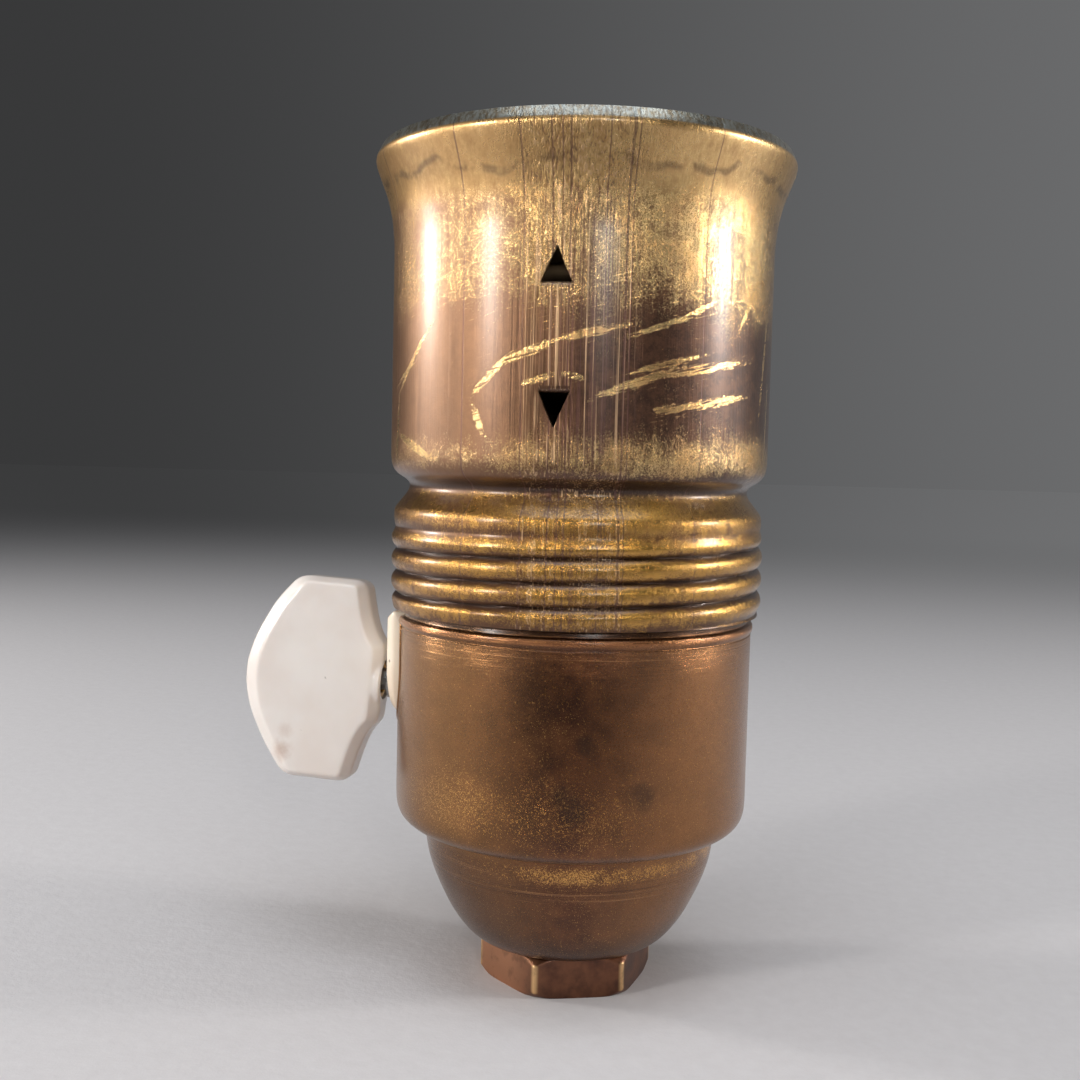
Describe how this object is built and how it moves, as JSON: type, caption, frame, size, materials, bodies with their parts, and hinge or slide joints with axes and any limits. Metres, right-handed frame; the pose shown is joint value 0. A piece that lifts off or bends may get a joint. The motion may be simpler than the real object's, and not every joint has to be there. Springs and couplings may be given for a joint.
{
  "type": "brass lampholder with porcelain key switch",
  "caption": "Antique brass E27 lampholder with a flared mouth, rolled thread, domed base with entry hexagon and a porcelain turn key at the side.",
  "frame": {"origin": "centre of the entry hexagon's seat, on the lampholder's axis", "axes": "+Z along the axis from the entry hexagon out of the lamp mouth, -X along the key's spindle outwards, +Y completes the right-handed frame"},
  "size_m": [0.0582, 0.044, 0.0877],
  "materials": {
    "shell_brass": "worn, mottled brown-gold patina",
    "cap_brass": "dark reddish-brown patina with bright speckles",
    "hex_brass": "orange-brown patina with bright edges",
    "contact_brass": "clean stamped brass, lightly tarnished",
    "steel": "plain turned steel",
    "glazed_porcelain": "off-white glaze, faintly stained",
    "bisque_porcelain": "unglazed, matt"
  },
  "bodies": {
    "base": {"hex_base": "hex_brass", "nipple_locknut": "steel", "base_cap": "cap_brass", "switch_block": "bisque_porcelain", "lamp_plate": "glazed_porcelain", "assembly_screw_1": "steel", "assembly_screw_2": "steel", "screw_shell": "contact_brass", "shell_screw_1": "contact_brass", "shell_screw_2": "contact_brass", "centre_contact_screw": "contact_brass", "terminal_line": "contact_brass", "terminal_screw_line": "contact_brass", "terminal_neutral": "contact_brass", "terminal_screw_neutral": "contact_brass", "line_leaf": "contact_brass", "lamp_leaf": "contact_brass", "side_strap": "contact_brass", "key_collar": "glazed_porcelain", "detent_spring": "steel"},
    "key": {"key": "glazed_porcelain", "key_ferrule": "contact_brass", "spindle": "steel", "rotor_disc_inner": "bisque_porcelain", "rotor_disc_outer": "bisque_porcelain", "contact_bridge": "contact_brass", "detent_cam": "steel", "spindle_washer": "contact_brass", "spindle_nut": "contact_brass"},
    "centre_contact": {"centre_contact": "contact_brass"},
    "mouth_ring": {"mouth_ring": "glazed_porcelain"},
    "shell": {"shell": "shell_brass"}
  },
  "joints": [
    {"name": "key_turn", "type": "hinge", "parent": "base", "child": "key", "pos_m": [0, 0, 0.0312], "axis": [-1, 0, 0], "continuous": true},
    {"name": "contact_press", "type": "hinge", "parent": "base", "child": "centre_contact", "pos_m": [0, 0.0046, 0.05195], "axis": [1, 0, 0], "range_deg": [0, 8], "stiffness_Nm_per_rad": 0.25},
    {"name": "ring_lift", "type": "slide", "parent": "base", "child": "mouth_ring", "axis": [0, 0, 1], "range_m": [0, 0.0093]},
    {"name": "shell_turn", "type": "hinge", "parent": "mouth_ring", "child": "shell", "pos_m": [0, 0, 0], "axis": [0, 0, 1], "range_deg": [0, 1440]}
  ],
  "couplings": [
    {"joint": "ring_lift", "follows": "shell_turn", "m_per_rad": 0.00036749}
  ]
}
